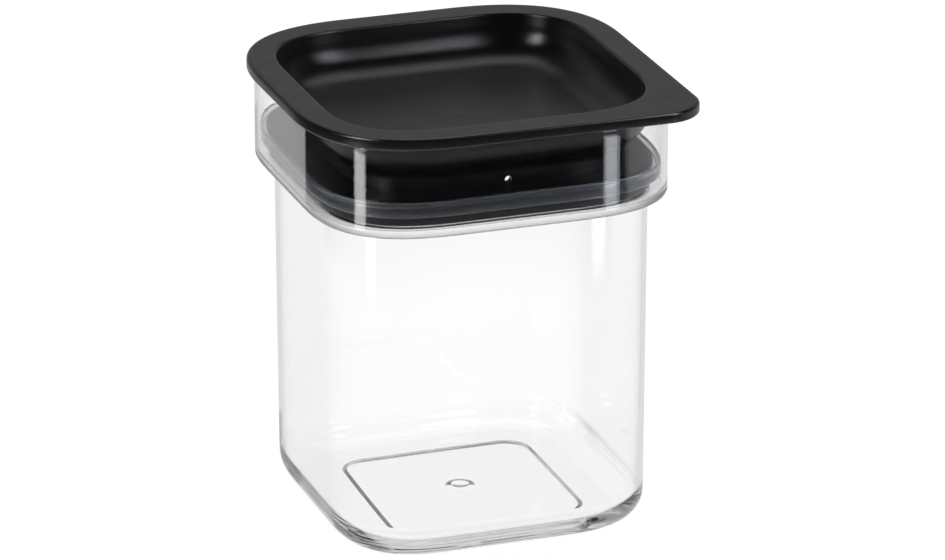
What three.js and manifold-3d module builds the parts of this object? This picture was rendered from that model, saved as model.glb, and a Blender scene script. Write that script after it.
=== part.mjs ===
// A square food storage container: a clear body with a wider collar, a dished lid that lifts off,
// and the seal ring round the lid's plug. Millimetres, +Z up, the foot on z = 0 and the axis on x = y = 0.
// The front faces -Y, and the lid's tight grip corner points to +X -Y.

import * as THREE from 'three';
import { mergeVertices } from 'three/addons/utils/BufferGeometryUtils.js';
import Module from 'manifold-3d';

// Overall sizes. "Half" is half the width of a square outline, and depths count down from the rim's top.
const HEIGHT = 117;
const RIM_HALF = 49.8;
const COLLAR_HALF = 47.3;
const BODY_HALF = 42.6;
const GAP = 0.3;

// Corners: how far out from the axis a corner's bend begins, and the power of its curve. A power of 2 is
// a plain arc, and a higher one eases out of the straight sides without a visible start.
const SOFT_CORNER = { start: 13.5, power: 2.8 };
const RIM_CORNER = { start: 13.5, power: 2.45 };
const GRIP_CORNER = { start: 39, power: 2 };
const PANEL_CORNER = { start: 19.3, power: 2 };

// Plans: the four corners of an outline, counter-clockwise from +X +Y, with the grip corner last.
const PLAN = [SOFT_CORNER, SOFT_CORNER, SOFT_CORNER, SOFT_CORNER];
const RIM_PLAN = [RIM_CORNER, RIM_CORNER, RIM_CORNER, GRIP_CORNER];
const PANEL_PLAN = [PANEL_CORNER, PANEL_CORNER, PANEL_CORNER, PANEL_CORNER];

// Container body.
const WALL = 1.2;
const BODY_DRAFT = 0.4;
const FOOT_ROUND = 8;
const FLOOR_TOP = 2.9;
const FLOOR_ROUND = 6.8;
const PANEL_HALF = 25.8;
const PANEL_RISE = 1.4;
const PANEL_SLOPE = 0.5;
const GATE_RADIUS = 3.75;
const GATE_MIDDLE = 2.4;
const GATE_DEPTH = 0.9;
const GATE_NUB_RADIUS = 0.9;
const GATE_NUB_HEIGHT = 0.4;
const SHOULDER_DEPTH = 27.1;
const LEDGE_DEPTH = 25.2;
const NECK_ROUND = 0.8;
const SHOULDER_ROUND = 1.2;
const LEDGE_ROUND = 1;
const LEDGE_EDGE = 0.8;
const COLLAR_LIP = 0.5;

// Lid.
const RIM_THICKNESS = 3;
const RIM_TOP_ROUND = 0.9;
const RIM_LOW_ROUND = 0.6;
const LID_WALL = 2.2;
const DISH_HALF = 42.5;
const DISH_LIP = 0.8;
const DISH_LEAN = 0.4;
const DISH_DEPTH = 12.5;
const DISH_ROUND = 9;
const SKIRT_HALF = 37;
const SKIRT_WALL = 2;
const SKIRT_BLEND = 2.5;
const HOLLOW_ROUND = 1.5;
const FLANGE_DEPTH = 18.2;
const FLANGE_HALF = 43.8;
const FLANGE_EDGE = 0.3;
const GROOVE_HALF = 41.4;
const GROOVE_TOP_DEPTH = 19.5;
const GROOVE_LOW_DEPTH = 22.8;
const PLUG_HALF = 43.2;
const PLUG_DEPTH = 24.9;
const PLUG_EDGE = 0.5;
const VENT_RADIUS = 0.95;
const VENT_DEPTH = 17.2;

// Seal ring: a bead in the lid's groove, with a lip that curves out and up to the collar's inside.
const SEAL_HALF = COLLAR_HALF - WALL - GAP;
const SEAL_TOP_DEPTH = 17.9;
const SEAL_LIP = 0.9;
const SEAL_CURL = 2;

// Mesh fineness.
const CORNER_STEPS = 12;
const ROUND_STEPS = 3;
const LONG_ROUND_STEPS = 6;
const HOLE_STEPS = 24;

const wasm = await Module();
wasm.setup();

// One level of a section: half the width of the square there, its height, and its plan.
function ring(half, z, plan = PLAN) {
  return { half, z, plan };
}

// Levels along an arc of a section, by the arc's centre, radius, and angles in degrees (0 points out).
function round(half, z, radius, from, to, steps = ROUND_STEPS, plan = PLAN) {
  const levels = [];
  for (let i = 0; i <= steps; i += 1) {
    const angle = THREE.MathUtils.degToRad(from + ((to - from) * i) / steps);
    levels.push(ring(half + radius * Math.cos(angle), z + radius * Math.sin(angle), plan));
  }
  return levels;
}

// The points of a level, counter-clockwise from above, corner by corner from +X +Y.
function outline({ half, z, plan }) {
  const points = [];
  plan.forEach(({ start, power }, corner) => {
    const size = half - start;
    for (let i = 0; i <= CORNER_STEPS; i += 1) {
      const angle = ((Math.PI / 2) * i) / CORNER_STEPS;
      const along = start + size * Math.max(0, Math.cos(angle)) ** (2 / power);
      const across = start + size * Math.sin(angle) ** (2 / power);
      points.push([...quarterTurns(along, across, corner), z]);
    }
  });
  return points;
}

// A point turned about the axis by a number of quarter turns.
function quarterTurns(x, y, turns) {
  return [[x, y], [-y, x], [-x, -y], [y, -x]][turns];
}

// Sweeps a section round the square, as a lathe does round a circle. A section that runs from the axis
// to the axis is capped there, and a closed one joins its last level to its first.
function squareLathe(section, closed) {
  const rings = section.map(outline);
  const count = rings[0].length;
  const positions = rings.flat(2);
  const index = [];
  const last = closed ? rings.length : rings.length - 1;
  for (let level = 0; level < last; level += 1) {
    const here = level * count;
    const next = ((level + 1) % rings.length) * count;
    for (let i = 0; i < count; i += 1) {
      const j = (i + 1) % count;
      index.push(here + i, here + j, next + j);
      index.push(here + i, next + j, next + i);
    }
  }
  if (!closed) {
    const firstCentre = positions.length / 3;
    const lastRing = (rings.length - 1) * count;
    positions.push(0, 0, section[0].z);
    positions.push(0, 0, section.at(-1).z);
    for (let i = 0; i < count; i += 1) {
      const j = (i + 1) % count;
      index.push(firstCentre, j, i);
      index.push(firstCentre + 1, lastRing + i, lastRing + j);
    }
  }
  const geometry = new THREE.BufferGeometry();
  geometry.setAttribute('position', new THREE.Float32BufferAttribute(positions, 3));
  geometry.setIndex(index);
  return geometry;
}

// A closed geometry as a solid for cutting.
function toSolid(geometry) {
  const plain = geometry.clone();
  plain.deleteAttribute('normal');
  plain.deleteAttribute('uv');
  const merged = mergeVertices(plain);
  const vertProperties = new Float32Array(merged.attributes.position.array);
  const triVerts = new Uint32Array(merged.index.array);
  return new wasm.Manifold(new wasm.Mesh({ numProp: 3, vertProperties, triVerts }));
}

// One geometry less another.
function cut(geometry, tool) {
  const mesh = toSolid(geometry).subtract(toSolid(tool)).getMesh();
  const result = new THREE.BufferGeometry();
  result.setAttribute('position', new THREE.BufferAttribute(mesh.vertProperties, 3));
  result.setIndex(new THREE.BufferAttribute(mesh.triVerts, 1));
  return result;
}

// The round gate mark in the middle of the base panel: a ring-shaped groove round a low nub.
function gateRecess() {
  const below = PANEL_RISE - 1;
  const nub = PANEL_RISE + GATE_DEPTH - GATE_NUB_HEIGHT;
  const profile = [
    new THREE.Vector2(0, below),
    new THREE.Vector2(GATE_RADIUS, below),
    new THREE.Vector2(GATE_RADIUS, PANEL_RISE),
    new THREE.Vector2(GATE_MIDDLE, PANEL_RISE + GATE_DEPTH),
    new THREE.Vector2(GATE_NUB_RADIUS, nub),
    new THREE.Vector2(0, nub),
  ];
  return new THREE.LatheGeometry(profile, HOLE_STEPS).rotateX(Math.PI / 2);
}

// The clear body: raised base panel, rounded foot, straight wall, shoulder and collar, then the inside.
function containerBody() {
  const foot = BODY_HALF - BODY_DRAFT;
  const inner = BODY_HALF - WALL;
  const innerFoot = foot - WALL;
  const innerCollar = COLLAR_HALF - WALL;
  const shoulder = HEIGHT - SHOULDER_DEPTH;
  const ledge = HEIGHT - LEDGE_DEPTH;
  const top = HEIGHT - RIM_THICKNESS - GAP;
  const section = [
    ring(PANEL_HALF, PANEL_RISE, PANEL_PLAN),
    ring(PANEL_HALF + PANEL_SLOPE, 0, PANEL_PLAN),
    ...round(foot - FOOT_ROUND, FOOT_ROUND, FOOT_ROUND, -90, 0, LONG_ROUND_STEPS),
    ...round(BODY_HALF + NECK_ROUND, shoulder - NECK_ROUND, NECK_ROUND, 180, 90),
    ...round(COLLAR_HALF - SHOULDER_ROUND, shoulder + SHOULDER_ROUND, SHOULDER_ROUND, -90, 0),
    ...round(COLLAR_HALF - COLLAR_LIP, top - COLLAR_LIP, COLLAR_LIP, 0, 90),
    ...round(innerCollar + COLLAR_LIP, top - COLLAR_LIP, COLLAR_LIP, 90, 180),
    ...round(innerCollar - LEDGE_ROUND, ledge + LEDGE_ROUND, LEDGE_ROUND, 0, -90),
    ...round(inner + LEDGE_EDGE, ledge - LEDGE_EDGE, LEDGE_EDGE, 90, 180),
    ...round(innerFoot - FLOOR_ROUND, FLOOR_TOP + FLOOR_ROUND, FLOOR_ROUND, 0, -90, LONG_ROUND_STEPS),
  ];
  return cut(squareLathe(section, false), gateRecess());
}

// The small drain hole through the front of the lid's skirt, just above its flange.
function ventHole() {
  const length = 3 * SKIRT_WALL;
  const hole = new THREE.CylinderGeometry(VENT_RADIUS, VENT_RADIUS, length, HOLE_STEPS / 2);
  return hole.translate(0, -SKIRT_HALF, HEIGHT - VENT_DEPTH);
}

// The lid: hollow plug with its seal groove and flange, outside of the dish, overhanging rim, then the dish.
function lid() {
  const rimLow = HEIGHT - RIM_THICKNESS;
  const dishFloor = HEIGHT - DISH_DEPTH;
  const bendHalf = DISH_HALF - DISH_LIP - DISH_LEAN - DISH_ROUND;
  const bendZ = dishFloor + DISH_ROUND;
  const bendOuter = DISH_ROUND + LID_WALL;
  const ceiling = dishFloor - LID_WALL;
  const skirtInner = SKIRT_HALF - SKIRT_WALL;
  const bottom = HEIGHT - PLUG_DEPTH;
  const grooveLow = HEIGHT - GROOVE_LOW_DEPTH;
  const grooveTop = HEIGHT - GROOVE_TOP_DEPTH;
  const flangeTop = HEIGHT - FLANGE_DEPTH;
  // The hollow round that joins the upright skirt to the outside of the dish touches both.
  const blendReach = SKIRT_HALF + SKIRT_BLEND - bendHalf;
  const blendDrop = Math.sqrt((bendOuter + SKIRT_BLEND) ** 2 - blendReach ** 2);
  const blendEnd = 180 - THREE.MathUtils.radToDeg(Math.atan2(blendDrop, blendReach));
  const rimLowRound = [RIM_HALF - RIM_LOW_ROUND, rimLow + RIM_LOW_ROUND, RIM_LOW_ROUND];
  const rimTopRound = [RIM_HALF - RIM_TOP_ROUND, HEIGHT - RIM_TOP_ROUND, RIM_TOP_ROUND];
  const section = [
    ...round(skirtInner - HOLLOW_ROUND, ceiling - HOLLOW_ROUND, HOLLOW_ROUND, 90, 0),
    ring(skirtInner, bottom),
    ring(PLUG_HALF - PLUG_EDGE, bottom),
    ring(PLUG_HALF, bottom + PLUG_EDGE),
    ring(PLUG_HALF, grooveLow),
    ring(GROOVE_HALF, grooveLow),
    ring(GROOVE_HALF, grooveTop),
    ring(FLANGE_HALF, grooveTop),
    ring(FLANGE_HALF, flangeTop - FLANGE_EDGE),
    ring(FLANGE_HALF - FLANGE_EDGE, flangeTop),
    ring(SKIRT_HALF, flangeTop),
    ...round(SKIRT_HALF + SKIRT_BLEND, bendZ - blendDrop, SKIRT_BLEND, 180, blendEnd),
    ...round(bendHalf, bendZ, bendOuter, blendEnd - 180, 0, LONG_ROUND_STEPS).slice(1),
    ring(bendHalf + bendOuter, rimLow),
    ...round(...rimLowRound, -90, 0, ROUND_STEPS, RIM_PLAN),
    ...round(...rimTopRound, 0, 90, ROUND_STEPS, RIM_PLAN),
    ...round(DISH_HALF, HEIGHT - DISH_LIP, DISH_LIP, 90, 180),
    ...round(bendHalf, bendZ, DISH_ROUND, 0, -90, LONG_ROUND_STEPS),
  ];
  return cut(squareLathe(section, false), ventHole());
}

// The seal ring, one closed section: bead, curved lip, upright tip, and the lip's hollow inner side.
function sealRing() {
  const beadInner = GROOVE_HALF + GAP;
  const beadLow = HEIGHT - GROOVE_LOW_DEPTH + GAP;
  const beadTop = HEIGHT - GROOVE_TOP_DEPTH - GAP;
  const tip = HEIGHT - SEAL_TOP_DEPTH;
  const curlHalf = SEAL_HALF - SEAL_CURL;
  const curlZ = beadLow + SEAL_CURL;
  const tipRound = SEAL_LIP / 2;
  const section = [
    ring(beadInner, beadLow),
    ...round(curlHalf, curlZ, SEAL_CURL, -90, 0, LONG_ROUND_STEPS),
    ...round(SEAL_HALF - tipRound, tip - tipRound, tipRound, 0, 180, LONG_ROUND_STEPS),
    ring(SEAL_HALF - SEAL_LIP, beadTop + GAP),
    ring(SEAL_HALF - 2 * SEAL_LIP, beadTop),
    ring(beadInner, beadTop),
  ];
  return squareLathe(section, true);
}

// A named piece with its own finish.
function piece(name, geometry, colour, roughness, opacity = 1) {
  const material = new THREE.MeshStandardMaterial({ color: colour, roughness, metalness: 0 });
  material.opacity = opacity;
  material.transparent = opacity < 1;
  const mesh = new THREE.Mesh(geometry, material);
  mesh.name = name;
  return mesh;
}

const container = new THREE.Group();
container.add(piece('container_body', containerBody(), 0xf4f6f7, 0.05, 0.25));

const cover = new THREE.Group();
cover.add(piece('lid', lid(), 0x1b1b1c, 0.35));
cover.add(piece('seal_ring', sealRing(), 0xaab2bb, 0.4, 0.7));

const storageContainer = new THREE.Group();
storageContainer.add(container, cover);

export default storageContainer;
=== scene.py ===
"""A square food storage container in a white studio: clear body, black dished lid and soft seal ring."""

import math
from collections import namedtuple

import bpy
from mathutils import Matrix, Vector


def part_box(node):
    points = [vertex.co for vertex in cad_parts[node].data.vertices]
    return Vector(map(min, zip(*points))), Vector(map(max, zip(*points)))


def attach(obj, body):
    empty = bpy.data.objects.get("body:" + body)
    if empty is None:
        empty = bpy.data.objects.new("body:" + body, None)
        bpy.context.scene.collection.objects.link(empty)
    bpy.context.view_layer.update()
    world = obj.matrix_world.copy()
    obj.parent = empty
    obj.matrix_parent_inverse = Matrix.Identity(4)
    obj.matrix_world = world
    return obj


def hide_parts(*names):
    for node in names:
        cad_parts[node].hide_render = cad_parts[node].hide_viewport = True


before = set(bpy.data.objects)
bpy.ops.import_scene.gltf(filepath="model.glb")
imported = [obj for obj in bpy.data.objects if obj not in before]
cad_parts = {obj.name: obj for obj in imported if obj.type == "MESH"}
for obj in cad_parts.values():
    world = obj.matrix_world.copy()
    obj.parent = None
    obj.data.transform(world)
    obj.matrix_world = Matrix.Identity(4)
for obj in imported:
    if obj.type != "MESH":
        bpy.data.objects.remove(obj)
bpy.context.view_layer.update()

# Sizes are in metres. "Half" is half the width of a square outline, and most heights are written as depths
# below the rim's top.
MM = 0.001
LID_LOW, LID_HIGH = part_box("lid")
BODY_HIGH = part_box("container_body")[1]
SEAL_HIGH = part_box("seal_ring")[1]
HEIGHT = LID_HIGH.z
RIM_HALF = LID_HIGH.x
COLLAR_HALF = BODY_HIGH.x
COLLAR_TOP = BODY_HIGH.z
SEAL_HALF = SEAL_HIGH.x
SEAL_TIP = SEAL_HIGH.z
PLUG_LOW = LID_LOW.z
GAP = 0.3 * MM

# Corners: how far out from the axis a corner's bend begins, and the power of its curve. A power of 2 is a
# plain arc, and a higher one eases out of the straight sides.
SOFT_CORNER = (13.5 * MM, 2.8)
RIM_CORNER = (13.5 * MM, 2.45)
GRIP_CORNER = (39 * MM, 2)
PANEL_CORNER = (19.3 * MM, 2)
AXIS_CORNER = (0, 2)

# Plans: the four corners of an outline, counter-clockwise from +X +Y, with the grip corner last.
PLAN = (SOFT_CORNER,) * 4
RIM_PLAN = (RIM_CORNER, RIM_CORNER, RIM_CORNER, GRIP_CORNER)
PANEL_PLAN = (PANEL_CORNER,) * 4
CIRCLE = (AXIS_CORNER,) * 4

# Container body.
WALL = 1.2 * MM
BODY_HALF = 42.6 * MM
BODY_DRAFT = 0.4 * MM
FOOT_ROUND = 8 * MM
FLOOR_TOP = 2.9 * MM
FLOOR_ROUND = 6.8 * MM
PANEL_HALF = 25.8 * MM
PANEL_RISE = 1.4 * MM
PANEL_SLOPE = 0.5 * MM
PANEL_EDGE = 0.45 * MM
GATE_RADIUS = 3.75 * MM
GATE_MIDDLE = 2.4 * MM
GATE_DEPTH = 0.9 * MM
GATE_NUB_RADIUS = 0.9 * MM
GATE_NUB_HEIGHT = 0.4 * MM
SHOULDER_Z = HEIGHT - 27.1 * MM
LEDGE_Z = HEIGHT - 25.2 * MM
NECK_ROUND = 0.8 * MM
SHOULDER_ROUND = 1.2 * MM
LEDGE_ROUND = 1 * MM
LEDGE_EDGE = 0.8 * MM
COLLAR_LIP = 0.5 * MM

# Lid.
RIM_LOW = HEIGHT - 3 * MM
RIM_TOP_ROUND = 0.9 * MM
RIM_LOW_ROUND = 0.6 * MM
LID_WALL = 2.2 * MM
DISH_HALF = 42.5 * MM
DISH_LIP = 0.8 * MM
DISH_LEAN = 0.4 * MM
DISH_FLOOR = HEIGHT - 12.5 * MM
DISH_ROUND = 9 * MM
DISH_MARK_RADIUS = 1.5 * MM
DISH_MARK_DEPTH = 0.25 * MM
SKIRT_HALF = 37 * MM
SKIRT_WALL = 2 * MM
SKIRT_BLEND = 2.5 * MM
HOLLOW_ROUND = 1.5 * MM
FLANGE_TOP = HEIGHT - 18.2 * MM
FLANGE_HALF = 43.8 * MM
FLANGE_EDGE = 0.3 * MM
GROOVE_HALF = 41.4 * MM
GROOVE_TOP = HEIGHT - 19.5 * MM
GROOVE_LOW = HEIGHT - 22.8 * MM
PLUG_HALF = 43.2 * MM
PLUG_EDGE = 0.5 * MM
VENT_RADIUS = 0.95 * MM
VENT_Z = HEIGHT - 17.2 * MM
VENT_REACH = 1.5 * SKIRT_WALL
VENT_SIDES = 32

# Seal ring.
SEAL_LIP = 0.9 * MM
SEAL_CURL = 2 * MM

# Mesh fineness: steps in a corner and in the arcs of a section, support lines beside long flats, and how
# far from its ends a straight side has its two points, as a share of its length.
CORNER_STEPS = 36
SMALL_ROUND_STEPS = 3
ROUND_STEPS = 6
LONG_ROUND_STEPS = 16
SUPPORT = 0.5 * MM
SUPPORT_FROM = 2.5 * MM
SIDE_MARGIN = 0.03
SHARP_ANGLE = math.radians(40)

# Finishes. A pattern's scale is per metre, and it drifts between the two tones or roughnesses of a pair.
# Most of a noise pattern lies in the noise span.
NOISE_SPAN = (0.3, 0.7)
PLASTIC_IOR = 1.49
CLEAR_TINTS = ((0.996, 0.997, 0.998), (0.998, 0.999, 1.0))
CLEAR_TINT_SCALE = 25.0
CLEAR_POLISH = (0.0, 0.02)
CLEAR_POLISH_SCALE = 60.0
CLEAR_WAVE_SCALE = 14.0
CLEAR_WAVE_STRENGTH = 0.03
CLEAR_WAVE_HEIGHT = 2 * MM
CLEAR_DEPTH_COLOUR = (0.72, 0.75, 0.77, 1)
CLEAR_DEPTH_DENSITY = 5.0
BLACK_TONES = ((0.0085, 0.0085, 0.009), (0.0115, 0.0112, 0.0115))
BLACK_TONE_SCALE = 90.0
BLACK_SATIN = (0.3, 0.36)
BLACK_SATIN_SCALE = 140.0
BLACK_GRAIN_SCALE = 3500.0
BLACK_GRAIN_STRENGTH = 0.015
BLACK_GRAIN_HEIGHT = 0.1 * MM
SILICONE_IOR = 1.41
SILICONE_CLEARNESS = 0.9
SILICONE_TONES = ((0.74, 0.79, 0.86), (0.78, 0.83, 0.9))
SILICONE_TONE_SCALE = 40.0
SILICONE_SATIN = (0.1, 0.14)
SILICONE_SATIN_SCALE = 60.0

# The matte skin round the shoulder of the body: its middle height, and how far it reaches up and down.
MATTE_MIDDLE = SHOULDER_Z + 0.8 * MM
MATTE_REACH = 1 * MM
MATTE_ROUGHNESS = 0.5

# Camera, for a picture 945 wide and 560 high.
PICTURE_WIDTH = 945
FOCAL_PIXELS = 5794
SENSOR = 36.0
VIEW_AZIMUTH = math.radians(-19.33)
VIEW_ELEVATION = math.radians(20.575)
VIEW_DISTANCE = 1.5
VIEW_AIM = Vector((0.00347, -0.00032, 0.05927))

# Floor: its own paper grey, and how white it is where it is looked at and where it is reflected.
FLOOR_RADIUS = 6.0
FLOOR_SIDES = 64
FLOOR_Z = -0.2 * MM
FLOOR_PAPER = 0.2
FLOOR_SEEN = 0.97
FLOOR_REFLECTED = 0.66

# Room light: its strength in front and behind, the share of that overhead, and the stretches of a
# direction's Y and Z in which it changes.
ROOM_FRONT = 0.1
ROOM_BACK = 0.34
ROOM_TOP_SHARE = 0.08
ROOM_DEPTH_SPAN = (-0.4, 0.4)
ROOM_HEIGHT_SPAN = (0.3, 0.7)

# Lamp overhead.
LAMP_PLACE = Vector((0.25, 0.5, 1.3))
LAMP_AIM = Vector((0, 0, 0.08))
LAMP_WIDTH = 1.2
LAMP_LENGTH = 1.0
LAMP_POWER = 6

# Cards round the object. Spans are angles in degrees, counter-clockwise from +X.
CARD_STEP = 2.0
CARD_FADE = 0.024
STRIP_RADIUS = 0.2
STRIP_LOW = 0.01
STRIP_TOP = 0.06
LEFT_STRIP_SPAN = (197.5, 210.5)
LEFT_STRIP_STRENGTH = 5.0
LEFT_STRIP_COLOUR = (1, 1, 1)
RIGHT_STRIP_SPAN = (300, 308.5)
RIGHT_STRIP_STRENGTH = 4.2
RIGHT_STRIP_COLOUR = (0.9, 0.93, 1)
UPPER_STRIP_LOW = 0.13
UPPER_STRIP_STRENGTH = 16.0
FLAG_RADIUS = 0.205
FLAG_SPAN = (125, 316)
FLAG_LOW = 0.004
FLAG_TOP = 0.3
FLAG_STRENGTH = 0.02
BACK_CARD_SPAN = (52, 92)
BACK_CARD_TOP = 0.13
BACK_CARD_STRENGTH = 0.7

# How often light may reflect, and how often it may turn in all.
REFLECTION_STEPS = 40
PATH_STEPS = 64

# One level of a section: half the width of the square there, its height, and its plan.
Level = namedtuple("Level", "half z plan")


def ring(half, z, plan=PLAN):
    """One level of a section, with soft corners where no other plan is given."""
    return Level(half, z, plan)


def arc(half, z, radius, start, end, steps=ROUND_STEPS, plan=PLAN):
    """Levels along an arc of a section, from one angle to another in degrees; 0 points out."""
    levels = []
    for i in range(steps + 1):
        angle = math.radians(start + (end - start) * i / steps)
        levels.append(ring(half + radius * math.cos(angle), z + radius * math.sin(angle), plan))
    return levels


def between(level, following, share, plan):
    """A level part of the way from one to the next."""
    half = level.half + (following.half - level.half) * share
    z = level.z + (following.z - level.z) * share
    return ring(half, z, plan)


def supported(section, closed):
    """Adds a level close to each end of every long stretch, so that flats shade as flats."""
    levels = []
    count = len(section)
    for i, level in enumerate(section):
        levels.append(level)
        if i == count - 1 and not closed:
            break
        following = section[(i + 1) % count]
        length = math.hypot(following.half - level.half, following.z - level.z)
        if length > SUPPORT_FROM:
            levels.append(between(level, following, SUPPORT / length, level.plan))
            levels.append(between(level, following, 1 - SUPPORT / length, following.plan))
    return levels


def outline(level):
    """The points of a level, counter-clockwise from above, corner by corner from +X +Y."""
    points = []
    for corner, (start, power) in enumerate(level.plan):
        size = level.half - start
        for i in range(CORNER_STEPS + 1):
            angle = math.pi / 2 * i / CORNER_STEPS
            along = start + size * max(0, math.cos(angle)) ** (2 / power)
            across = start + size * math.sin(angle) ** (2 / power)
            x, y = quarter_turns(along, across, corner)
            points.append(Vector((x, y, level.z)))
    return with_side_points(points)


def quarter_turns(x, y, turns):
    """A point turned about the axis by a number of quarter turns."""
    return ((x, y), (-y, x), (-x, -y), (y, -x))[turns]


def with_side_points(points):
    """Puts two points on each straight side, one near either end."""
    full = []
    count = len(points)
    for i, point in enumerate(points):
        full.append(point)
        if i % (CORNER_STEPS + 1) == CORNER_STEPS:
            following = points[(i + 1) % count]
            for share in (SIDE_MARGIN, 1 - SIDE_MARGIN):
                full.append(point.lerp(following, share))
    return full


def square_lathe(name, section, closed=False):
    """Sweeps a section round the square. An open one starts and ends near the axis and is capped there."""
    section = supported(section, closed)
    rings = [outline(level) for level in section]
    count = len(rings[0])
    vertices = [point for points in rings for point in points]
    faces = []
    for level in range(len(rings) if closed else len(rings) - 1):
        here = level * count
        above = (level + 1) % len(rings) * count
        for i in range(count):
            j = (i + 1) % count
            faces.append((here + i, here + j, above + j, above + i))
    if not closed:
        last = (len(rings) - 1) * count
        first_centre = len(vertices)
        vertices.append(Vector((0, 0, section[0].z)))
        vertices.append(Vector((0, 0, section[-1].z)))
        for i in range(count):
            j = (i + 1) % count
            faces.append((first_centre, j, i))
            faces.append((first_centre + 1, last + i, last + j))
    return new_mesh(name, vertices, faces)


def new_mesh(name, vertices, faces):
    """A smooth-shaded mesh object in the scene."""
    mesh = bpy.data.meshes.new(name)
    mesh.from_pydata(vertices, [], faces)
    mesh.validate()
    shape = bpy.data.objects.new(name, mesh)
    bpy.context.scene.collection.objects.link(shape)
    shade(mesh)
    return shape


def shade(mesh):
    """Smooth shading, with real corners kept sharp."""
    mesh.shade_smooth()
    mesh.set_sharp_from_angle(angle=SHARP_ANGLE)


def container_body():
    """The clear body: gate recess and base panel, foot, wall, shoulder and collar, then the inside."""
    foot = BODY_HALF - BODY_DRAFT
    inner = BODY_HALF - WALL
    inner_foot = foot - WALL
    inner_collar = COLLAR_HALF - WALL
    gate_top = PANEL_RISE + GATE_DEPTH
    panel_foot = PANEL_HALF + PANEL_SLOPE
    floor_end = inner_foot - FLOOR_ROUND
    panel_top_edge = (PANEL_HALF - PANEL_EDGE, PANEL_RISE - PANEL_EDGE, PANEL_EDGE)
    panel_low_edge = (panel_foot + PANEL_EDGE, PANEL_EDGE, PANEL_EDGE)
    section = [
        ring(GATE_NUB_RADIUS, gate_top - GATE_NUB_HEIGHT, CIRCLE),
        ring(GATE_MIDDLE, gate_top, CIRCLE),
        ring(GATE_RADIUS, PANEL_RISE, CIRCLE),
        *arc(*panel_top_edge, 90, 30, SMALL_ROUND_STEPS, PANEL_PLAN),
        *arc(*panel_low_edge, 210, 270, SMALL_ROUND_STEPS, PANEL_PLAN),
        *arc(foot - FOOT_ROUND, FOOT_ROUND, FOOT_ROUND, -90, 0, LONG_ROUND_STEPS),
        *arc(BODY_HALF + NECK_ROUND, SHOULDER_Z - NECK_ROUND, NECK_ROUND, 180, 90),
        *arc(COLLAR_HALF - SHOULDER_ROUND, SHOULDER_Z + SHOULDER_ROUND, SHOULDER_ROUND, -90, 0),
        *arc(COLLAR_HALF - COLLAR_LIP, COLLAR_TOP - COLLAR_LIP, COLLAR_LIP, 0, 90),
        *arc(inner_collar + COLLAR_LIP, COLLAR_TOP - COLLAR_LIP, COLLAR_LIP, 90, 180),
        *arc(inner_collar - LEDGE_ROUND, LEDGE_Z + LEDGE_ROUND, LEDGE_ROUND, 0, -90),
        *arc(inner + LEDGE_EDGE, LEDGE_Z - LEDGE_EDGE, LEDGE_EDGE, 90, 180),
        *arc(floor_end, FLOOR_TOP + FLOOR_ROUND, FLOOR_ROUND, 0, -90, LONG_ROUND_STEPS),
        ring(floor_end - SUPPORT, FLOOR_TOP),
    ]
    return square_lathe("clear_body", section)


def lid():
    """The lid: hollow plug with groove and flange, outside of the dish, overhanging rim, then the dish."""
    bend_half = DISH_HALF - DISH_LIP - DISH_LEAN - DISH_ROUND
    bend_z = DISH_FLOOR + DISH_ROUND
    bend_outer = DISH_ROUND + LID_WALL
    ceiling = DISH_FLOOR - LID_WALL
    skirt_inner = SKIRT_HALF - SKIRT_WALL
    blend_reach = SKIRT_HALF + SKIRT_BLEND - bend_half
    blend_drop = math.sqrt((bend_outer + SKIRT_BLEND) ** 2 - blend_reach ** 2)
    blend_end = 180 - math.degrees(math.atan2(blend_drop, blend_reach))
    rim_low_round = (RIM_HALF - RIM_LOW_ROUND, RIM_LOW + RIM_LOW_ROUND, RIM_LOW_ROUND)
    rim_top_round = (RIM_HALF - RIM_TOP_ROUND, HEIGHT - RIM_TOP_ROUND, RIM_TOP_ROUND)
    mark_floor = DISH_FLOOR - DISH_MARK_DEPTH
    section = [
        ring(skirt_inner - HOLLOW_ROUND - SUPPORT, ceiling),
        *arc(skirt_inner - HOLLOW_ROUND, ceiling - HOLLOW_ROUND, HOLLOW_ROUND, 90, 0),
        ring(skirt_inner, PLUG_LOW),
        *arc(PLUG_HALF - PLUG_EDGE, PLUG_LOW + PLUG_EDGE, PLUG_EDGE, -90, 0, SMALL_ROUND_STEPS),
        ring(PLUG_HALF, GROOVE_LOW),
        ring(GROOVE_HALF, GROOVE_LOW),
        ring(GROOVE_HALF, GROOVE_TOP),
        ring(FLANGE_HALF, GROOVE_TOP),
        *arc(FLANGE_HALF - FLANGE_EDGE, FLANGE_TOP - FLANGE_EDGE, FLANGE_EDGE, 0, 90, SMALL_ROUND_STEPS),
        ring(SKIRT_HALF, FLANGE_TOP),
        *arc(SKIRT_HALF + SKIRT_BLEND, bend_z - blend_drop, SKIRT_BLEND, 180, blend_end),
        *arc(bend_half, bend_z, bend_outer, blend_end - 180, 0, LONG_ROUND_STEPS)[1:],
        ring(bend_half + bend_outer, RIM_LOW),
        *arc(*rim_low_round, -90, 0, ROUND_STEPS, RIM_PLAN),
        *arc(*rim_top_round, 0, 90, ROUND_STEPS, RIM_PLAN),
        *arc(DISH_HALF, HEIGHT - DISH_LIP, DISH_LIP, 90, 180),
        *arc(bend_half, bend_z, DISH_ROUND, 0, -90, LONG_ROUND_STEPS),
        ring(DISH_MARK_RADIUS, DISH_FLOOR, CIRCLE),
        ring(DISH_MARK_RADIUS / 2, mark_floor, CIRCLE),
    ]
    shape = square_lathe("black_lid", section)
    cut_vent(shape)
    return shape


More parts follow.
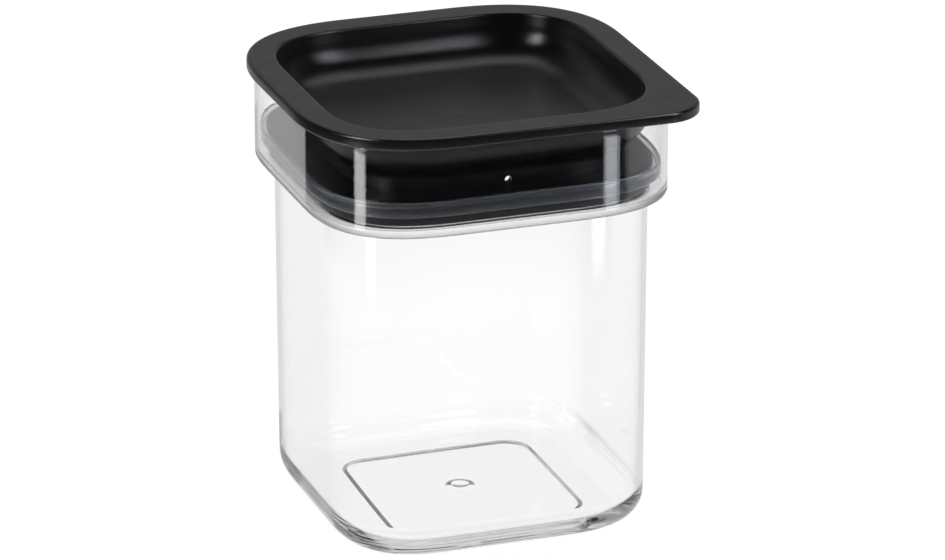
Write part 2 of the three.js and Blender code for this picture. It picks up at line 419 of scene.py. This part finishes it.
def cut_vent(shape):
    """Cuts the small drain hole through the front of the lid's skirt."""
    vertices = []
    for y in (-SKIRT_HALF - VENT_REACH, -SKIRT_HALF + VENT_REACH):
        for i in range(VENT_SIDES):
            angle = 2 * math.pi * i / VENT_SIDES
            x = VENT_RADIUS * math.cos(angle)
            vertices.append((x, y, VENT_Z + VENT_RADIUS * math.sin(angle)))
    faces = [tuple(range(VENT_SIDES)), tuple(range(2 * VENT_SIDES - 1, VENT_SIDES - 1, -1))]
    for i in range(VENT_SIDES):
        j = (i + 1) % VENT_SIDES
        faces.append((j, i, VENT_SIDES + i, VENT_SIDES + j))
    drill = new_mesh("vent_drill", vertices, faces)
    cut = shape.modifiers.new("vent", "BOOLEAN")
    cut.operation = "DIFFERENCE"
    cut.solver = "EXACT"
    cut.object = drill
    depsgraph = bpy.context.evaluated_depsgraph_get()
    drilled = bpy.data.meshes.new_from_object(shape.evaluated_get(depsgraph))
    shape.modifiers.clear()
    shape.data = drilled
    shade(drilled)
    bpy.data.objects.remove(drill)


def seal_ring():
    """The seal: a bead in the lid's groove and a lip that curves out and up to the collar."""
    bead_inner = GROOVE_HALF + GAP
    bead_low = GROOVE_LOW + GAP
    bead_top = GROOVE_TOP - GAP
    tip_round = SEAL_LIP / 2
    section = [
        ring(bead_inner, bead_low),
        *arc(SEAL_HALF - SEAL_CURL, bead_low + SEAL_CURL, SEAL_CURL, -90, 0, LONG_ROUND_STEPS),
        *arc(SEAL_HALF - tip_round, SEAL_TIP - tip_round, tip_round, 0, 180, LONG_ROUND_STEPS),
        ring(SEAL_HALF - SEAL_LIP, bead_top + GAP),
        ring(SEAL_HALF - 2 * SEAL_LIP, bead_top),
        ring(bead_inner, bead_top),
    ]
    return square_lathe("soft_seal", section, closed=True)


def new_material(name):
    """An empty node material with its output."""
    material = bpy.data.materials.new(name)
    material.use_nodes = True
    tree = material.node_tree
    tree.nodes.clear()
    output = tree.nodes.new("ShaderNodeOutputMaterial")
    return material, tree, output


def noise(tree, scale, detail=3.0):
    """A noise pattern in the object's own coordinates; the scale is per metre."""
    place = tree.nodes.new("ShaderNodeTexCoord")
    pattern = tree.nodes.new("ShaderNodeTexNoise")
    pattern.inputs["Scale"].default_value = scale
    pattern.inputs["Detail"].default_value = detail
    tree.links.new(place.outputs["Object"], pattern.inputs["Vector"])
    return pattern.outputs["Fac"]


def spread(tree, value, span, low, high):
    """Spreads a stretch of a value between two numbers."""
    stretch = tree.nodes.new("ShaderNodeMapRange")
    stretch.inputs["From Min"].default_value = span[0]
    stretch.inputs["From Max"].default_value = span[1]
    stretch.inputs["To Min"].default_value = low
    stretch.inputs["To Max"].default_value = high
    tree.links.new(value, stretch.inputs["Value"])
    return stretch.outputs["Result"]


def blend_colours(tree, value, first, second):
    """Spreads a noise pattern between two colours."""
    blend = tree.nodes.new("ShaderNodeMix")
    blend.data_type = "RGBA"
    colours = [socket for socket in blend.inputs if socket.type == "RGBA"]
    colours[0].default_value = (*first, 1)
    colours[1].default_value = (*second, 1)
    tree.links.new(spread(tree, value, NOISE_SPAN, 0, 1), blend.inputs["Factor"])
    return next(socket for socket in blend.outputs if socket.type == "RGBA")


def bump(tree, value, strength, distance):
    """A small unevenness of the surface."""
    relief = tree.nodes.new("ShaderNodeBump")
    relief.inputs["Strength"].default_value = strength
    relief.inputs["Distance"].default_value = distance
    tree.links.new(value, relief.inputs["Height"])
    return relief.outputs["Normal"]


def height_above_floor(tree):
    """The height of a point in the object's own coordinates."""
    place = tree.nodes.new("ShaderNodeTexCoord")
    parts = tree.nodes.new("ShaderNodeSeparateXYZ")
    tree.links.new(place.outputs["Object"], parts.inputs["Vector"])
    return parts.outputs["Z"]


def matte_band(tree, polish):
    """Adds the matte skin round the shoulder to the roughness of the polished walls."""
    inside = tree.nodes.new("ShaderNodeMath")
    inside.operation = "COMPARE"
    inside.inputs[1].default_value = MATTE_MIDDLE
    inside.inputs[2].default_value = MATTE_REACH
    tree.links.new(height_above_floor(tree), inside.inputs[0])
    total = tree.nodes.new("ShaderNodeMath")
    total.operation = "MULTIPLY_ADD"
    total.inputs[1].default_value = MATTE_ROUGHNESS
    tree.links.new(inside.outputs["Value"], total.inputs[0])
    tree.links.new(polish, total.inputs[2])
    return total.outputs["Value"]


def clear_plastic():
    """Clear rigid plastic: polished, very slightly wavy, and a little grey through its depth."""
    material, tree, output = new_material("clear_plastic")
    shader = tree.nodes.new("ShaderNodeBsdfPrincipled")
    shader.inputs["IOR"].default_value = PLASTIC_IOR
    shader.inputs["Transmission Weight"].default_value = 1.0
    tint = blend_colours(tree, noise(tree, CLEAR_TINT_SCALE), *CLEAR_TINTS)
    tree.links.new(tint, shader.inputs["Base Color"])
    polish = spread(tree, noise(tree, CLEAR_POLISH_SCALE), NOISE_SPAN, *CLEAR_POLISH)
    tree.links.new(matte_band(tree, polish), shader.inputs["Roughness"])
    swell = noise(tree, CLEAR_WAVE_SCALE, detail=1.0)
    waves = bump(tree, swell, CLEAR_WAVE_STRENGTH, CLEAR_WAVE_HEIGHT)
    tree.links.new(waves, shader.inputs["Normal"])
    depth = tree.nodes.new("ShaderNodeVolumeAbsorption")
    depth.inputs["Color"].default_value = CLEAR_DEPTH_COLOUR
    depth.inputs["Density"].default_value = CLEAR_DEPTH_DENSITY
    tree.links.new(shader.outputs["BSDF"], output.inputs["Surface"])
    tree.links.new(depth.outputs["Volume"], output.inputs["Volume"])
    return material


def black_plastic():
    """Black moulded plastic with a satin skin and a fine moulded grain."""
    material, tree, output = new_material("black_plastic")
    shader = tree.nodes.new("ShaderNodeBsdfPrincipled")
    shader.inputs["IOR"].default_value = PLASTIC_IOR
    tone = blend_colours(tree, noise(tree, BLACK_TONE_SCALE, detail=4.0), *BLACK_TONES)
    tree.links.new(tone, shader.inputs["Base Color"])
    satin = spread(tree, noise(tree, BLACK_SATIN_SCALE, detail=4.0), NOISE_SPAN, *BLACK_SATIN)
    tree.links.new(satin, shader.inputs["Roughness"])
    speckle = noise(tree, BLACK_GRAIN_SCALE, detail=2.0)
    grain = bump(tree, speckle, BLACK_GRAIN_STRENGTH, BLACK_GRAIN_HEIGHT)
    tree.links.new(grain, shader.inputs["Normal"])
    tree.links.new(shader.outputs["BSDF"], output.inputs["Surface"])
    return material


def soft_silicone():
    """Translucent bluish silicone rubber."""
    material, tree, output = new_material("seal_silicone")
    shader = tree.nodes.new("ShaderNodeBsdfPrincipled")
    shader.inputs["IOR"].default_value = SILICONE_IOR
    shader.inputs["Transmission Weight"].default_value = SILICONE_CLEARNESS
    tone = blend_colours(tree, noise(tree, SILICONE_TONE_SCALE), *SILICONE_TONES)
    tree.links.new(tone, shader.inputs["Base Color"])
    satin = spread(tree, noise(tree, SILICONE_SATIN_SCALE), NOISE_SPAN, *SILICONE_SATIN)
    tree.links.new(satin, shader.inputs["Roughness"])
    tree.links.new(shader.outputs["BSDF"], output.inputs["Surface"])
    return material


def dress(shape, material, body, node):
    """Gives a piece its material, and puts it in the place of its node on the body that carries it."""
    shape.data.materials.clear()
    shape.data.materials.append(material)
    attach(shape, body)
    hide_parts(node)


def bounced(tree):
    """0 for rays that come straight from the camera, also through clear pieces, and 1 for all others."""
    path = tree.nodes.new("ShaderNodeLightPath")
    total = tree.nodes.new("ShaderNodeMath")
    total.use_clamp = True
    tree.links.new(path.outputs["Glossy Depth"], total.inputs[0])
    tree.links.new(path.outputs["Diffuse Depth"], total.inputs[1])
    return total.outputs["Value"]


def product(tree, first, second):
    """One value times another."""
    times = tree.nodes.new("ShaderNodeMath")
    times.operation = "MULTIPLY"
    tree.links.new(first, times.inputs[0])
    tree.links.new(second, times.inputs[1])
    return times.outputs["Value"]


def choose(tree, factor, first, second, output):
    """Shows the first shader where the factor is 0, and the second where it is 1."""
    mix = tree.nodes.new("ShaderNodeMixShader")
    tree.links.new(factor, mix.inputs["Fac"])
    tree.links.new(first, mix.inputs[1])
    tree.links.new(second, mix.inputs[2])
    tree.links.new(mix.outputs["Shader"], output.inputs["Surface"])


def studio_world():
    """A white room: white where it is looked at, softer as light, and dimmer in front and overhead."""
    world = bpy.data.worlds.new("studio")
    bpy.context.scene.world = world
    world.use_nodes = True
    tree = world.node_tree
    tree.nodes.clear()
    output = tree.nodes.new("ShaderNodeOutputWorld")
    seen = tree.nodes.new("ShaderNodeBackground")
    seen.inputs["Color"].default_value = (1, 1, 1, 1)
    light = tree.nodes.new("ShaderNodeBackground")
    light.inputs["Color"].default_value = (1, 1, 1, 1)
    direction = tree.nodes.new("ShaderNodeTexCoord")
    parts = tree.nodes.new("ShaderNodeSeparateXYZ")
    tree.links.new(direction.outputs["Generated"], parts.inputs["Vector"])
    depth = spread(tree, parts.outputs["Y"], ROOM_DEPTH_SPAN, ROOM_FRONT, ROOM_BACK)
    height = spread(tree, parts.outputs["Z"], ROOM_HEIGHT_SPAN, 1, ROOM_TOP_SHARE)
    tree.links.new(product(tree, depth, height), light.inputs["Strength"])
    choose(tree, bounced(tree), seen.outputs["Background"], light.outputs["Background"], output)


def studio_floor():
    """A plain white floor, seen as white and still taking the object's soft shadow."""
    rim = []
    for i in range(FLOOR_SIDES):
        angle = 2 * math.pi * i / FLOOR_SIDES
        rim.append((FLOOR_RADIUS * math.cos(angle), FLOOR_RADIUS * math.sin(angle), FLOOR_Z))
    floor = new_mesh("floor", rim, [tuple(range(FLOOR_SIDES))])
    material, tree, output = new_material("floor_white")
    paper = tree.nodes.new("ShaderNodeBsdfDiffuse")
    paper.inputs["Color"].default_value = (FLOOR_PAPER, FLOOR_PAPER, FLOOR_PAPER, 1)
    looks = []
    for strength in (FLOOR_SEEN, FLOOR_REFLECTED):
        glow = tree.nodes.new("ShaderNodeEmission")
        glow.inputs["Strength"].default_value = strength
        look = tree.nodes.new("ShaderNodeAddShader")
        tree.links.new(paper.outputs["BSDF"], look.inputs[0])
        tree.links.new(glow.outputs["Emission"], look.inputs[1])
        looks.append(look.outputs["Shader"])
    choose(tree, bounced(tree), *looks, output)
    floor.data.materials.append(material)


def card(name, radius, span, low, high, strength, colour=(1, 1, 1)):
    """A curved card round the object that only reflections show, as a dark flag or a strip light does.

    It fades out towards its low edge.
    """
    start, end = span
    steps = round((end - start) / CARD_STEP)
    vertices = []
    faces = []
    for i in range(steps + 1):
        angle = math.radians(start + (end - start) * i / steps)
        for z in (low, high):
            vertices.append((radius * math.cos(angle), radius * math.sin(angle), z))
        if i:
            faces.append((2 * i - 2, 2 * i - 1, 2 * i + 1, 2 * i))
    shape = new_mesh(name, vertices, faces)
    material, tree, output = new_material(name)
    clear = tree.nodes.new("ShaderNodeBsdfTransparent")
    glow = tree.nodes.new("ShaderNodeEmission")
    glow.inputs["Color"].default_value = (*colour, 1)
    glow.inputs["Strength"].default_value = strength
    fade = spread(tree, height_above_floor(tree), (low, low + CARD_FADE), 0, 1)
    shown = product(tree, bounced(tree), fade)
    choose(tree, shown, clear.outputs["BSDF"], glow.outputs["Emission"], output)
    shape.data.materials.append(material)
    shape.visible_camera = False
    shape.visible_diffuse = False
    shape.visible_volume_scatter = False
    shape.visible_shadow = False


def studio_cards():
    """Strip lights at both sides of the camera, a dark flag round the front, and a low pale card behind.

    The pale card's fade lies under the floor.
    """
    for name, span, strength, colour in (
        ("strip_left", LEFT_STRIP_SPAN, LEFT_STRIP_STRENGTH, LEFT_STRIP_COLOUR),
        ("strip_right", RIGHT_STRIP_SPAN, RIGHT_STRIP_STRENGTH, RIGHT_STRIP_COLOUR),
    ):
        upper_name = name + "_upper"
        card(name, STRIP_RADIUS, span, STRIP_LOW, STRIP_TOP, strength, colour)
        card(upper_name, STRIP_RADIUS, span, UPPER_STRIP_LOW, FLAG_TOP, UPPER_STRIP_STRENGTH, colour)
    card("flag", FLAG_RADIUS, FLAG_SPAN, FLAG_LOW, FLAG_TOP, FLAG_STRENGTH)
    card("low_back", STRIP_RADIUS, BACK_CARD_SPAN, -CARD_FADE, BACK_CARD_TOP, BACK_CARD_STRENGTH)


def studio_lamp():
    """One large soft lamp overhead, a little to the back."""
    data = bpy.data.lights.new("top_soft", "AREA")
    data.shape = "RECTANGLE"
    data.size = LAMP_WIDTH
    data.size_y = LAMP_LENGTH
    data.energy = LAMP_POWER
    lamp = bpy.data.objects.new("top_soft", data)
    bpy.context.scene.collection.objects.link(lamp)
    lamp.location = LAMP_PLACE
    lamp.rotation_mode = "QUATERNION"
    lamp.rotation_quaternion = (LAMP_AIM - LAMP_PLACE).to_track_quat("-Z", "Y")
    lamp.visible_camera = False


def light_paths():
    """Lets light pass and reflect often enough inside the clear walls."""
    cycles = bpy.context.scene.cycles
    cycles.max_bounces = PATH_STEPS
    cycles.transmission_bounces = PATH_STEPS
    cycles.glossy_bounces = REFLECTION_STEPS


def studio_camera():
    """The camera, at the angle of the picture."""
    data = bpy.data.cameras.new("camera")
    data.sensor_width = SENSOR
    data.lens = FOCAL_PIXELS * SENSOR / PICTURE_WIDTH
    camera = bpy.data.objects.new("camera", data)
    bpy.context.scene.collection.objects.link(camera)
    level = math.cos(VIEW_ELEVATION)
    x = math.sin(VIEW_AZIMUTH) * level
    y = -math.cos(VIEW_AZIMUTH) * level
    back = Vector((x, y, math.sin(VIEW_ELEVATION)))
    camera.location = VIEW_AIM + back * VIEW_DISTANCE
    camera.rotation_mode = "QUATERNION"
    camera.rotation_quaternion = (-back).to_track_quat("-Z", "Y")
    bpy.context.scene.camera = camera


bpy.context.scene.view_settings.view_transform = "Standard"
light_paths()
studio_camera()
studio_world()
studio_floor()
studio_lamp()
studio_cards()
dress(container_body(), clear_plastic(), "container", "container_body")
dress(lid(), black_plastic(), "cover", "lid")
dress(seal_ring(), soft_silicone(), "cover", "seal_ring")
